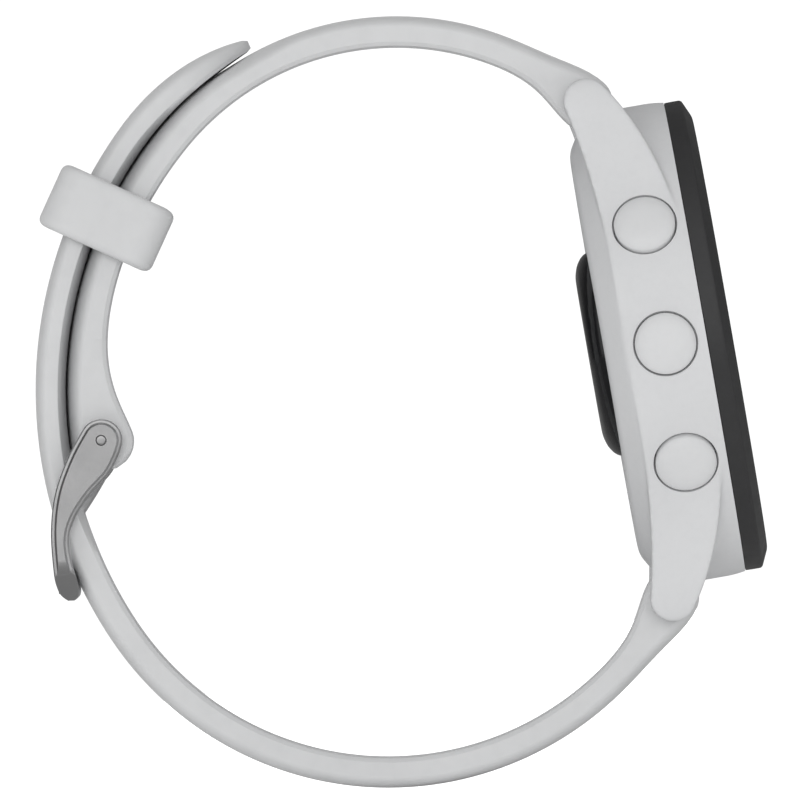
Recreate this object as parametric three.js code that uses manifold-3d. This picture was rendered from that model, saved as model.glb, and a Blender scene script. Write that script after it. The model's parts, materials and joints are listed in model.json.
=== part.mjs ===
// A 42 mm running watch, closed round a wrist: case, five push buttons, buckled silicone band.
// Millimetres. +Z points to 12 o'clock, -Y out of the display, +X to 3 o'clock.
// The origin is the centre of the flat face of the sensor window, which rests on the wrist.
import * as THREE from 'three';
import { mergeVertices } from 'three/addons/utils/BufferGeometryUtils.js';
import Module from 'manifold-3d';

const wasm = await Module();
wasm.setup();

// ---- Driving dimensions -------------------------------------------------------------------

// Planes along the case axis, from the front to the back.
const FRONT_Y = -12.66;
const BEZEL_CORNER_Y = -11.91;
const SEAM_Y = -10.36;
const BUTTON_Y = -6.72;
const CHAMFER_Y = -3.15;
const BACK_Y = -1.35;
const SKIN_GAP = 0.05;          // between flat faces that meet
const GAP = 0.3;                // round anything that moves, or is curved

// Case radii.
const CASE_R = 21.2;
const SEAM_R = 21.0;
const BEZEL_FRONT_R = 19.35;
const LENS_R = 17.9;
const LENS_SEAT_R = 16.2;
const CAVITY_R = 18.0;
const COVER_R = 16.9;
const LEDGE_R = 13.6;
const LEDGE_FRONT_Y = -4.45;
const LEDGE_BACK_Y = -3.25;

// Sensor window.
const SENSOR_FLAT_R = 7.1;
const SENSOR_BASE_R = 9.1;

// Buttons, as angles round the case from +X towards +Z.
const BUTTONS = [
  { name: 'light', angle: 150 },
  { name: 'up', angle: 180 },
  { name: 'down', angle: 210 },
  { name: 'start', angle: 30 },
  { name: 'back', angle: -30 },
];
const BUTTON_R = 2.7;
const BUTTON_TOP = 22.15;       // distance of the cap's crown from the case axis
const BUTTON_EDGE = 21.55;      // distance of the cap's rounded edge from the case axis
const BUTTON_UNDER = 20.4;
const BUTTON_SEAT = 19.7;
const STEM_R = 0.9;
const STEM_END = 17.0;
const SWITCH_TOP = 16.3;
const CLIP_AT = 17.35;
const CLIP_THICK = 0.25;

// Lugs and spring bars.
const BAND_WIDTH = 20;
const LUG_INNER_X = 10.3;
const BAR_Y = -3.6;
const BAR_Z = 22.2;
const LUG_TIP_R = 2.05;
const BAR_R = 0.95;
const TIP_R = 0.42;
const LUG_HOLE_R = 0.75;
const LUG_HOLE_DEPTH = 1.6;
const TIP_REACH = 1.1;
const ROOT_BORE_R = 1.25;

// Band halves. A run is the middle line of the band: a heading and a chain of tangent arcs.
const BAND_THICK = 2.7;
const ROOT_SWELL = 2.1;
const ROOT_SWELL_LENGTH = 3.9;
const TAIL_RUN = { heading: -53.5, arcs: [[28.1, 119.5], [38.4, 69.5], [24.1, 30.9]] };
const STRAP_RUN = { heading: 51.3, arcs: [[25.3, -91.9], [35.4, -47.1]] };
const TAIL_TIP_THICK = 1.1;
const TAIL_TAPER = 14;
const LOBE_SWELL = 2.65;
const LOBE_SWELL_LENGTH = 5.6;
const LOBE_SWELL_POWER = 1.5;
const STATION = 2.5;            // spacing of the points along a run
const HOLE_PITCH = 5.6;
const FIRST_HOLE = 51.4;        // distance along the tail of the hole nearest the case
const HOLE_COUNT = 10;
const TONGUE_HOLE = 3;          // index of the hole that the tongue is in
const HOLE_HALF_LENGTH = 1.5;
const HOLE_R = 1.1;

// Keeper.
const KEEPER_WIDTH = 24.4;
const KEEPER_HEIGHT = 10.7;
const KEEPER_LENGTH = 5.9;
const KEEPER_CENTRE = [39.91, 19.43];
const KEEPER_ANGLE = 34.3;      // from +Y towards +Z, the way out of the wrist
const KEEPER_CLEAR = [20.8, 6.3];
const KEEPER_CLEAR_SHIFT = 0.16;

// Buckle.
const PIN_Y = 43.69;
const PIN_Z = 0.16;
const PIN_R = 0.8;
const PIN_END_R = 0.5;
const PIN_BORE_R = 1.1;
const ARM_HUB_R = 1.87;
const ARM_INNER_X = 10.45;
const ARM_OUTER_X = 12.05;
const FRAME_LOW_Z = -13.4;
const FRAME_CORNER_R = 3.8;
const TONGUE_HALF = 1.0;
const TONGUE_HUB_R = 1.75;
const TONGUE_SLOT_HALF = 1.35;
const NOTCH_FLOOR_Y = 48.8;
const LIFT = 3;                 // degrees that the buckle and its tongue can rise

const DEG = Math.PI / 180;

// ---- Materials ----------------------------------------------------------------------------

function finish(color, roughness, metalness) {
  return new THREE.MeshStandardMaterial({ color, roughness, metalness });
}

const WHITE_POLYMER = finish(0xdedfe0, 0.5, 0);
const WHITE_SILICONE = finish(0xd6d7d8, 0.6, 0);
const BLACK_POLYMER = finish(0x1c1c1e, 0.45, 0);
const BLACK_RUBBER = finish(0x151515, 0.8, 0);
const LENS_GLASS = finish(0x0c0e10, 0.08, 0);
const SENSOR_GLASS = finish(0x0a0a0a, 0.12, 0);
const STEEL = finish(0xa8a8a8, 0.35, 1);
const BOARD_GREEN = finish(0x1f4a33, 0.6, 0);
const TIN = finish(0xb8b9bb, 0.4, 1);
const GOLD = finish(0xd9b25c, 0.25, 1);
const CELL_FOIL = finish(0x9a9da3, 0.45, 0.6);
const DISPLAY_DARK = finish(0x20261f, 0.3, 0);

// ---- Solids -------------------------------------------------------------------------------

// A closed geometry as a solid, with its shared points merged and its faces out.
function solid(geometry) {
  const plain = geometry.clone();
  plain.deleteAttribute('normal');
  plain.deleteAttribute('uv');
  const merged = mergeVertices(plain, 1e-4);
  const index = merged.index.array;
  const triangles = [];
  for (let i = 0; i < index.length; i += 3) {
    const [a, b, c] = [index[i], index[i + 1], index[i + 2]];
    if (a !== b && b !== c && c !== a) triangles.push(a, b, c);
  }
  const vertProperties = new Float32Array(merged.attributes.position.array);
  const made = new wasm.Manifold(new wasm.Mesh({
    numProp: 3, vertProperties, triVerts: new Uint32Array(triangles),
  }));
  if (made.volume() > 0) return made;
  return new wasm.Manifold(new wasm.Mesh({
    numProp: 3, vertProperties, triVerts: new Uint32Array(triangles.reverse()),
  }));
}

function piece(name, shape, material) {
  const mesh = shape.getMesh();
  const geometry = new THREE.BufferGeometry();
  geometry.setAttribute('position', new THREE.BufferAttribute(mesh.vertProperties, 3));
  geometry.setIndex(new THREE.BufferAttribute(mesh.triVerts, 1));
  geometry.computeVertexNormals();
  const made = new THREE.Mesh(geometry, material);
  made.name = name;
  return made;
}

const points = (pairs) => pairs.map(([u, v]) => new THREE.Vector2(u, v));

// Turned about the case axis Y. The profile is a list of [radius, y].
function turned(profile, segments = 48) {
  return solid(new THREE.LatheGeometry(points(profile), segments));
}

// A ring turned about Y between two radii and two heights.
function ring(inner, outer, y0, y1, segments = 36) {
  return turned([[inner, y0], [outer, y0], [outer, y1], [inner, y1], [inner, y0]], segments);
}

function disc(radius, y0, y1, segments = 36) {
  return turned([[0, y0], [radius, y0], [radius, y1], [0, y1]], segments);
}

// Turned about Y, then laid along +X, so that a profile's y becomes x.
function turnedAlongX(profile, segments) {
  const geometry = new THREE.LatheGeometry(points(profile), segments);
  geometry.rotateZ(-Math.PI / 2);
  return solid(geometry);
}

function rod(radius, x0, x1, segments = 16) {
  return turnedAlongX([[0, x0], [radius, x0], [radius, x1], [0, x1]], segments);
}

// A side outline of [y, z] points, extruded along X, with its rim rounded by the bevel.
function sideSlab(outline, x0, x1, bevel = 0) {
  const geometry = new THREE.ExtrudeGeometry(new THREE.Shape(outline), {
    depth: x1 - x0 - 2 * bevel,
    bevelEnabled: bevel > 0,
    bevelThickness: bevel,
    bevelSize: bevel,
    bevelOffset: -bevel,
    bevelSegments: 1,
  });
  geometry.translate(0, 0, x0 + bevel);
  geometry.applyMatrix4(new THREE.Matrix4().makeBasis(
    new THREE.Vector3(0, 1, 0), new THREE.Vector3(0, 0, 1), new THREE.Vector3(1, 0, 0),
  ));
  return solid(geometry);
}

// A front outline of [x, z] points, extruded along Y between two planes.
function frontSlab(outline, y0, y1) {
  const geometry = new THREE.ExtrudeGeometry(new THREE.Shape(outline), {
    depth: y1 - y0, bevelEnabled: false,
  });
  geometry.applyMatrix4(new THREE.Matrix4().makeBasis(
    new THREE.Vector3(1, 0, 0), new THREE.Vector3(0, 0, 1), new THREE.Vector3(0, -1, 0),
  ));
  geometry.translate(0, y1, 0);
  return solid(geometry);
}

function block(x0, x1, y0, y1, z0, z1) {
  const geometry = new THREE.BoxGeometry(x1 - x0, y1 - y0, z1 - z0);
  geometry.translate((x0 + x1) / 2, (y0 + y1) / 2, (z0 + z1) / 2);
  return solid(geometry);
}

function roundedRectangle(width, height, radius, steps = 4) {
  const outline = [];
  const corners = [[1, 1, 0], [-1, 1, 90], [-1, -1, 180], [1, -1, 270]];
  for (const [u, v, start] of corners) {
    const centre = [u * (width / 2 - radius), v * (height / 2 - radius)];
    outline.push(...arcPoints(centre, radius, start, start + 90, steps));
  }
  return outline;
}

function arcPoints([u, v], radius, from, to, steps) {
  const arc = [];
  for (let i = 0; i <= steps; i += 1) {
    const angle = (from + (to - from) * (i / steps)) * DEG;
    arc.push(new THREE.Vector2(u + radius * Math.cos(angle), v + radius * Math.sin(angle)));
  }
  return arc;
}

// ---- Band outlines ------------------------------------------------------------------------

// Stations along a run that starts at [y, z]: each has a point, a heading and a distance.
function stations([y, z], run) {
  let heading = run.heading * DEG;
  let point = new THREE.Vector2(y, z);
  let along = 0;
  const made = [{ point, heading, along }];
  for (const [radius, degrees] of run.arcs) {
    const turn = Math.sign(degrees);
    const centre = leftOf(point, heading, turn * radius);
    const steps = Math.ceil((radius * Math.abs(degrees) * DEG) / STATION);
    for (let i = 0; i < steps; i += 1) {
      heading += (degrees * DEG) / steps;
      along += (radius * Math.abs(degrees) * DEG) / steps;
      point = leftOf(centre, heading, -turn * radius);
      made.push({ point, heading, along });
    }
  }
  return made;
}

function leftOf(point, heading, distance) {
  return new THREE.Vector2(
    point.x - distance * Math.sin(heading),
    point.y + distance * Math.cos(heading),
  );
}

// The place at a distance along a run, between the stations next to it.
function placeAlong(line, distance) {
  const next = line.findIndex((station) => station.along >= distance);
  const [a, b] = [line[next - 1], line[next]];
  const share = (distance - a.along) / (b.along - a.along);
  return {
    point: a.point.clone().lerp(b.point, share),
    heading: a.heading + (b.heading - a.heading) * share,
  };
}

const rootSwell = (along) => ROOT_SWELL * Math.exp(-((along / ROOT_SWELL_LENGTH) ** 2));

// The outline between two faces at given distances left and right of the middle line.
function bandOutline(line, left, right) {
  const first = line[0];
  const rootR = (BAND_THICK + ROOT_SWELL) / 2;
  const behind = first.heading / DEG;
  const last = line[line.length - 1];
  const endR = (left(last.along) + right(last.along)) / 2;
  const endCentre = leftOf(last.point, last.heading, left(last.along) - endR);
  const ahead = last.heading / DEG;
  return [
    ...arcPoints([first.point.x, first.point.y], rootR, behind + 90, behind + 270, 8),
    ...line.slice(1, -1).map((s) => leftOf(s.point, s.heading, -right(s.along))),
    ...arcPoints([endCentre.x, endCentre.y], endR, ahead - 90, ahead + 90, 6),
    ...line.slice(1, -1).reverse().map((s) => leftOf(s.point, s.heading, left(s.along))),
  ];
}

function tailThickness(along, length) {
  const share = Math.min((length - along) / TAIL_TAPER, 1);
  const taper = 1 - (1 - share) ** 3;
  return TAIL_TIP_THICK + (BAND_THICK - TAIL_TIP_THICK) * taper + rootSwell(along);
}

function lobeSwell(along, length) {
  return LOBE_SWELL * Math.exp(-(((length - along) / LOBE_SWELL_LENGTH) ** LOBE_SWELL_POWER));
}

const TAIL = stations([BAR_Y, -BAR_Z], TAIL_RUN);
const STRAP = stations([BAR_Y, BAR_Z], STRAP_RUN);

// ---- Case ---------------------------------------------------------------------------------

function lugOutline() {
  const frontEdge = new THREE.QuadraticBezierCurve(
    new THREE.Vector2(-9.95, 10.7), new THREE.Vector2(-9.25, 17.2), new THREE.Vector2(-5.3, 23.3),
  );
  const rearEdge = new THREE.QuadraticBezierCurve(
    new THREE.Vector2(-1.7, 21.5), new THREE.Vector2(-2.8, 16.9), new THREE.Vector2(-3.15, 10),
  );
  return [
    new THREE.Vector2(-3.4, 8),
    new THREE.Vector2(-9.6, 8),
    ...frontEdge.getPoints(5),
    ...arcPoints([BAR_Y, BAR_Z], LUG_TIP_R, 125, 0, 6),
    ...rearEdge.getPoints(4),
  ];
}

function lugPlan() {
  return points([
    [LUG_INNER_X, 8], [19.4, 8], [18.1, 11], [17.0, 13.2], [16.0, 16.4], [15.2, 19.6], [14.6, 22.4],
    [13.9, 24.1], [12.6, 24.8], [LUG_INNER_X, 24.8],
  ]);
}

function lug() {
  const side = sideSlab(lugOutline(), LUG_INNER_X, 19);
  const plan = frontSlab(lugPlan(), -11, 0);
  return side.intersect(plan).subtract(disc(CASE_R - 1.5, -11, 0));
}

function caseShell() {
  return turned([
    [COVER_R + GAP, LEDGE_BACK_Y], [LEDGE_R, LEDGE_BACK_Y], [LEDGE_R, LEDGE_FRONT_Y],
    [CAVITY_R, LEDGE_FRONT_Y], [CAVITY_R, SEAM_Y], [SEAM_R, SEAM_Y], [CASE_R, -9.3],
    [CASE_R, -4.6], [20.9, CHAMFER_Y], [19.2, -2.1], [18.2, -1.5], [17.6, BACK_Y],
    [COVER_R + GAP, BACK_Y - 0.1], [COVER_R + GAP, LEDGE_BACK_Y],
  ]);
}

function buttonBore(angle) {
  return turnedAlongX([
    [0, 16.5], [STEM_R + GAP, 16.5], [STEM_R + GAP, 18.9], [1.9, 18.9], [1.9, BUTTON_SEAT],
    [BUTTON_R + GAP, BUTTON_SEAT], [BUTTON_R + GAP, 25], [0, 25],
  ], 16).rotate([0, -angle, 0]).translate([0, BUTTON_Y, 0]);
}

// The room between two lugs for the band's rounded root.
function rootClearance() {
  const r = (BAND_THICK + ROOT_SWELL) / 2 + GAP;
  const hub = rod(r, -LUG_INNER_X, LUG_INNER_X, 28).translate([0, BAR_Y, BAR_Z]);
  return hub.add(block(-LUG_INNER_X, LUG_INNER_X, BAR_Y, 1, BAR_Z - r, 30));
}

function gasketGroove() {
  return ring(16.05, 17.15, LEDGE_BACK_Y - 0.8, LEDGE_BACK_Y + 0.2);
}

function screwAt(index, shape) {
  const angle = (45 + 90 * index) * DEG;
  return shape.translate([15.1 * Math.cos(angle), 0, 15.1 * Math.sin(angle)]);
}

function caseBody() {
  let body = caseShell();
  for (const [u, w] of [[1, 1], [-1, 1], [1, -1], [-1, -1]]) {
    body = body.add(mirrored(lug(), u, w));
  }
  body = body.subtract(gasketGroove());
  for (const w of [1, -1]) {
    body = body.subtract(mirrored(rootClearance(), 1, w));
    const reach = LUG_INNER_X + LUG_HOLE_DEPTH;
    body = body.subtract(rod(LUG_HOLE_R, -reach, reach).translate([0, BAR_Y, w * BAR_Z]));
  }
  for (const { angle } of BUTTONS) body = body.subtract(buttonBore(angle));
  for (let i = 0; i < 4; i += 1) body = body.subtract(screwAt(i, disc(0.8, -5, -3, 10)));
  return body;
}

// Turned half a turn about an axis or mirrored, so that faces stay out.
function mirrored(shape, u, w) {
  let made = shape;
  if (u < 0) made = made.mirror([1, 0, 0]);
  if (w < 0) made = made.mirror([0, 0, 1]);
  return made;
}

function bezel() {
  return turned([
    [LENS_SEAT_R, -11.4], [LENS_SEAT_R, SEAM_Y - SKIN_GAP], [SEAM_R, SEAM_Y - SKIN_GAP],
    [SEAM_R, BEZEL_CORNER_Y], [BEZEL_FRONT_R, FRONT_Y], [LENS_R + GAP, FRONT_Y],
    [LENS_R + GAP, -11.4], [LENS_SEAT_R, -11.4],
  ]);
}

function displayStack() {
  return [
    piece('lens', disc(LENS_R, -12.5, -11.75), LENS_GLASS),
    piece('lens_seal', ring(16.5, 17.7, -11.7, -11.45, 28), BLACK_RUBBER),
    piece('display_panel', disc(15.8, -11.65, -10.3, 32), DISPLAY_DARK),
  ];
}

// ---- Inside the case ----------------------------------------------------------------------

function innerChassis() {
  const plate = turned([
    [0, -10.15], [17.6, -10.15], [17.6, -8.9], [17.0, -8.9], [17.0, -9.5], [0, -9.5],
  ], 32);
  return plate.subtract(block(-4, 4, -11, -8, -13.5, -10.5));
}

function antennaRing() {
  const outer = arcPoints([0, 0], 16.8, -60, 240, 18);
  const inner = arcPoints([0, 0], 15.9, 240, -60, 18);
  return frontSlab([...outer, ...inner], -9.4, -9.0);
}

function mainBoard() {
  return disc(15.4, -9.4, -8.6, 32).intersect(block(-14.2, 14.2, -12, 0, -20, 20));
}

function motor() {
  return disc(3.6, -8.55, -5.9, 20).translate([0, 0, -12.4]);
}

function battery() {
  return frontSlab(roundedRectangle(23, 16.6, 1.2, 2), -7.4, -4.75);
}

function internals() {
  const can = frontSlab(roundedRectangle(14, 12, 0.6, 1), -8.55, -7.5);
  const buzzer = disc(4.5, -8.55, -7.7, 20).translate([0, 0, 13.1]);
  return [
    piece('inner_chassis', innerChassis(), BLACK_POLYMER),
    piece('antenna_ring', antennaRing(), GOLD),
    piece('main_board', mainBoard(), BOARD_GREEN),
    piece('shield_can', can, TIN),
    piece('battery', battery(), CELL_FOIL),
    piece('vibration_motor', motor(), STEEL),
    piece('buzzer', buzzer, GOLD),
  ];
}

// ---- Back ---------------------------------------------------------------------------------

const PORT = { width: 9.6, height: 3.4, z: -12.5 };
const CONTACT_PITCH = 2.3;

function portOutline(grow) {
  const outline = roundedRectangle(PORT.width + 2 * grow, PORT.height + 2 * grow, 1 + grow, 2);
  return outline.map((p) => new THREE.Vector2(p.x, p.y + PORT.z));
}

function contactX(index) {
  return (index - 1.5) * CONTACT_PITCH;
}

function backCover() {
  let cover = turned([
    [SENSOR_BASE_R + GAP, -2.95], [COVER_R, -2.95], [COVER_R, BACK_Y - 0.1],
    [COVER_R - 0.4, BACK_Y], [SENSOR_BASE_R + GAP, BACK_Y], [SENSOR_BASE_R + GAP, -2.95],
  ]);
  cover = cover.subtract(frontSlab(portOutline(GAP), -4, 0));
  for (let i = 0; i < 4; i += 1) {
    cover = cover.subtract(screwAt(i, disc(0.8, -4, 0, 10)));
    cover = cover.subtract(screwAt(i, disc(1.35, -2.2, 0, 14)));
  }
  return cover;
}

function sensorWindow() {
  return turned([
    [0, -2.5], [SENSOR_BASE_R, -2.5], [SENSOR_BASE_R, -1.2], [8.75, -0.75], [8.1, -0.3],
    [SENSOR_FLAT_R, 0], [0, 0],
  ], 36);
}

function chargeBlock() {
  let block4 = frontSlab(portOutline(0), -3.15, -2.0);
  for (let i = 0; i < 4; i += 1) {
    block4 = block4.subtract(disc(0.75, -4, 0, 10).translate([contactX(i), 0, PORT.z]));
  }
  return block4;
}

function backScrew() {
  const screw = turned([
    [0, -4.2], [0.35, -4.2], [0.5, -3.9], [0.5, -2.1], [1.05, -2.1], [1.05, -1.7], [0.8, -1.5],
    [0, -1.5],
  ], 12);
  return screw.subtract(block(-0.18, 0.18, -1.8, -1, -0.6, 0.6))
    .subtract(block(-0.6, 0.6, -1.8, -1, -0.18, 0.18));
}

function backPieces() {
  const made = [
    piece('back_cover', backCover(), WHITE_POLYMER),
    piece('back_gasket', ring(16.35, 16.85, -3.75, -3.05, 28), BLACK_RUBBER),
    piece('sensor_window', sensorWindow(), SENSOR_GLASS),
    piece('sensor_board', disc(8.3, -3.5, -2.7, 24), BOARD_GREEN),
    piece('charge_block', chargeBlock(), BLACK_POLYMER),
  ];
  for (let i = 0; i < 4; i += 1) {
    const contact = disc(0.45, -3.15, -1.8, 10).translate([contactX(i), 0, PORT.z]);
    made.push(piece(`charge_contact_${i + 1}`, contact, GOLD));
    made.push(piece(`back_screw_${i + 1}`, screwAt(i, backScrew()), STEEL));
  }
  return made;
}

// ---- Buttons ------------------------------------------------------------------------------

// Each button lies along +X from the case axis, and its group turns it to its place.
function buttonCap() {
  return turnedAlongX([
    [0, STEM_END], [STEM_R, STEM_END], [STEM_R, CLIP_AT - 0.05], [0.6, CLIP_AT - 0.05],
    [0.6, CLIP_AT + 0.3], [STEM_R, CLIP_AT + 0.3], [STEM_R, BUTTON_UNDER],
    [BUTTON_R, BUTTON_UNDER], [BUTTON_R, BUTTON_EDGE], [2.4, 21.9], [1.5, 22.1], [0, BUTTON_TOP],
  ], 16);
}

function torus(radius, tube, at) {
  const profile = arcPoints([radius, at], tube, 0, 360, 6).map((p) => [p.x, p.y]);
  profile[profile.length - 1] = profile[0];
  return turnedAlongX(profile, 12);
}

function tubeAlongX(inner, outer, x0, x1, segments) {
  return turnedAlongX([
    [inner, x0], [outer, x0], [outer, x1], [inner, x1], [inner, x0],
  ], segments);
}

function tactSwitch() {
  const body = block(SWITCH_TOP - 1.7, SWITCH_TOP - 0.4, -1.6, 1.6, -1.7, 1.7);
  return body.add(rod(0.8, SWITCH_TOP - 0.6, SWITCH_TOP, 16));
}

function button({ name, angle }) {
  const group = new THREE.Group();
  group.position.set(0, BUTTON_Y, 0);
  group.rotation.set(0, -angle * DEG, 0);
  group.add(piece(`${name}_button`, buttonCap(), WHITE_POLYMER));
  group.add(piece(`${name}_button_seal`, torus(1.45, 0.2, 19.3), BLACK_RUBBER));
  const clip = tubeAlongX(0.75, 1.5, CLIP_AT, CLIP_AT + CLIP_THICK, 12);
  group.add(piece(`${name}_button_clip`, clip, STEEL));
  group.add(piece(`${name}_switch`, tactSwitch(), TIN));
  return group;
}

// ---- Spring bars --------------------------------------------------------------------------

const BAR_HALF = 9.6;
const RELEASE_X = 6.2;
const RELEASE_TRAVEL = 1.3;

// A tube with one fixed tip, bored at the other end for the sliding tip, with a slot for its knob.
function springBar() {
  const tube = turnedAlongX([
    [0, -LUG_INNER_X - TIP_REACH], [TIP_R, -LUG_INNER_X - TIP_REACH], [TIP_R, -BAR_HALF],
    [BAR_R, -BAR_HALF], [BAR_R, BAR_HALF], [0.7, BAR_HALF], [0.7, 3], [0, 3],
  ], 20);
  return tube.subtract(block(RELEASE_X - RELEASE_TRAVEL - 0.7, RELEASE_X + 0.7, 0, 2, -0.65, 0.65));
}

function releaseTip() {
  const pin = rod(TIP_R, 4.6, LUG_INNER_X + TIP_REACH, 16);
  const stem = disc(0.35, 0, 2.1, 12).translate([RELEASE_X, 0, 0]);
  const knob = disc(0.75, 1.6, 2.35, 16).translate([RELEASE_X, 0, 0]);
  return pin.add(stem).add(knob);
}

// The knob points to the wrist side of the band's root.
function springBarSet(name, w) {
  const group = new THREE.Group();
  group.position.set(0, BAR_Y, w * BAR_Z);
  group.rotation.set(w * (STRAP_RUN.heading - 90) * DEG, 0, 0);
  group.add(piece(`${name}_spring_bar`, springBar(), STEEL));
  group.add(piece(`${name}_release_tip`, releaseTip(), STEEL));
  return group;
}

// ---- Band ---------------------------------------------------------------------------------

function releasePocket(w) {
  return block(RELEASE_X - RELEASE_TRAVEL - 1.2, RELEASE_X + 1.2, 0, 4, -1.2, 1.2)
    .rotate([w * (STRAP_RUN.heading - 90), 0, 0])
    .translate([0, BAR_Y, w * BAR_Z]);
}

function rootBore(w) {
  return rod(ROOT_BORE_R, -11, 11).translate([0, BAR_Y, w * BAR_Z]);
}

// A hole across the band, round at both ends of its length, at a distance along the tail.
function strapHole(distance) {
  const { point, heading } = placeAlong(TAIL, distance);
  const outline = [
    ...arcPoints([0, HOLE_HALF_LENGTH - HOLE_R], HOLE_R, 0, 180, 4),
    ...arcPoints([0, HOLE_R - HOLE_HALF_LENGTH], HOLE_R, 180, 360, 4),
  ];
  return frontSlab(outline, -3, 3)
    .rotate([heading / DEG - 90, 0, 0])
    .translate([0, point.x, point.y]);
}

function tailStrap() {
  const length = TAIL[TAIL.length - 1].along;
  const face = (along) => tailThickness(along, length) / 2;
  let strap = sideSlab(bandOutline(TAIL, face, face), -BAND_WIDTH / 2, BAND_WIDTH / 2, 0.35);
  strap = strap.subtract(rootBore(-1)).subtract(releasePocket(-1));
  for (let i = 0; i < HOLE_COUNT; i += 1) {
    if (i !== TONGUE_HOLE) strap = strap.subtract(strapHole(FIRST_HOLE + i * HOLE_PITCH));
  }
  return strap.subtract(tongueRoom()).intersect(tailPlan());
}

// What the tongue sweeps as it lifts, with a gap round it.
function tongueRoom() {
  const room = sideSlab(tongueOutline(GAP), -TONGUE_HALF - GAP, TONGUE_HALF + GAP);
  const lifted = room.translate([0, -PIN_Y, -PIN_Z]).rotate([LIFT, 0, 0]).translate([0, PIN_Y, PIN_Z]);
  return room.add(lifted);
}

// The tail's end is round when the band is seen flat.
function tailPlan() {
  const { point, heading } = TAIL[TAIL.length - 1];
  const radius = BAND_WIDTH / 2;
  const corner = block(-11, 11, -4, 4, -7, 3)
    .subtract(disc(radius, -5, 5, 36).translate([0, 0, -radius]));
  const placed = corner
    .rotate([heading / DEG - 90, 0, 0])
    .translate([0, point.x, point.y + 0.05]);
  return block(-20, 20, -20, 70, -50, 50).subtract(placed);
}

function buckleStrap() {
  const length = STRAP[STRAP.length - 1].along;
  const outside = (along) => (BAND_THICK + rootSwell(along)) / 2;
  const inside = (along) => outside(along) + lobeSwell(along, length);
  let strap = sideSlab(bandOutline(STRAP, outside, inside), -BAND_WIDTH / 2, BAND_WIDTH / 2, 0.35);
  strap = strap.subtract(rootBore(1)).subtract(releasePocket(1));
  strap = strap.subtract(rod(PIN_BORE_R, -11, 11, 16).translate([0, PIN_Y, PIN_Z]));
  const slot = block(-TONGUE_SLOT_HALF, TONGUE_SLOT_HALF, 38, 50, -6, PIN_Z + TONGUE_HUB_R + GAP);
  return strap.subtract(slot);
}

function keeper() {
  const shape = new THREE.Shape(roundedRectangle(KEEPER_WIDTH, KEEPER_HEIGHT, 2.4, 4));
  const inside = roundedRectangle(KEEPER_CLEAR[0], KEEPER_CLEAR[1], 1.2, 3);
  const placed = inside.map((p) => new THREE.Vector2(p.x, p.y + KEEPER_CLEAR_SHIFT));
  shape.holes.push(new THREE.Path(placed));
  const bevel = 0.7;
  const geometry = new THREE.ExtrudeGeometry(shape, {
    depth: KEEPER_LENGTH - 2 * bevel,
    bevelThickness: bevel,
    bevelSize: bevel,
    bevelOffset: -bevel,
    bevelSegments: 2,
  });
  geometry.translate(0, 0, bevel - KEEPER_LENGTH / 2);
  return solid(geometry);
}

function keeperPiece() {
  const made = piece('keeper', keeper(), WHITE_SILICONE);
  const out = new THREE.Vector3(0, Math.cos(KEEPER_ANGLE * DEG), Math.sin(KEEPER_ANGLE * DEG));
  const across = new THREE.Vector3(1, 0, 0);
  const along = new THREE.Vector3().crossVectors(across, out);
  made.quaternion.setFromRotationMatrix(new THREE.Matrix4().makeBasis(across, out, along));
  made.position.set(0, KEEPER_CENTRE[0], KEEPER_CENTRE[1]);
  return made;
}

// ---- Buckle -------------------------------------------------------------------------------

function armOutline() {
  const outer = new THREE.SplineCurve(points([
    [45.04, 1.45], [46.78, -0.75], [48.48, -3.75], [49.43, -7], [49.81, -10.6], [49.75, -12],
    [49.5, -12.75], [49.02, -13.28],
  ]));
  const inner = new THREE.SplineCurve(points([
    [48.46, -13.36], [48.0, -12.95], [47.88, -12], [48.08, -10], [47.98, -8], [47.18, -6.25],
    [45.48, -4.4], [43.5, -2.85], [42.24, -1.15],
  ]));
  return [
    ...outer.getPoints(12),
    ...inner.getPoints(12),
    ...arcPoints([PIN_Y, PIN_Z], ARM_HUB_R, 212, 55, 9),
  ];
}

function crossbarOutline() {
  return points([
    [48.64, -10.3], [49.3, -9.9], [49.76, -10.4], [49.78, -11.2], [49.58, -12.3], [49.1, -13.1],
    [48.5, -13.25], [48.04, -12.9], [48.04, -12.4], [48.4, -11.3],
  ]);
}

// The frame seen from the front: its two lower corners are rounded.
function framePlan() {
  const centre = ARM_OUTER_X - FRAME_CORNER_R;
  const low = FRAME_LOW_Z + FRAME_CORNER_R;
  return [
    ...points([[ARM_OUTER_X, 5], [-ARM_OUTER_X, 5]]),
    ...arcPoints([-centre, low], FRAME_CORNER_R, 180, 270, 6),
    ...arcPoints([centre, low], FRAME_CORNER_R, 270, 360, 6),
  ];
}

function buckleFrame() {
  const arm = sideSlab(armOutline(), ARM_INNER_X, ARM_OUTER_X, 0.3);
  const bar = sideSlab(crossbarOutline(), -ARM_INNER_X - 0.5, ARM_INNER_X + 0.5);
  const notch = block(-TONGUE_HALF - GAP, TONGUE_HALF + GAP, NOTCH_FLOOR_Y, 52, -20, -5);
  const hole = rod(PIN_R, -20, 20).translate([0, PIN_Y, PIN_Z]);
  const blank = arm.add(arm.mirror([1, 0, 0])).add(bar).intersect(frontSlab(framePlan(), 35, 55));
  return blank.subtract(notch).subtract(hole);
}

function bucklePin() {
  const end = ARM_OUTER_X + 0.05;
  return turnedAlongX([
    [0, -end], [PIN_END_R, -end], [PIN_END_R, -ARM_INNER_X + 0.1], [PIN_R, -ARM_INNER_X + 0.1],
    [PIN_R, ARM_INNER_X - 0.1], [PIN_END_R, ARM_INNER_X - 0.1], [PIN_END_R, end], [0, end],
  ], 20).translate([0, PIN_Y, PIN_Z]);
}

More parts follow.
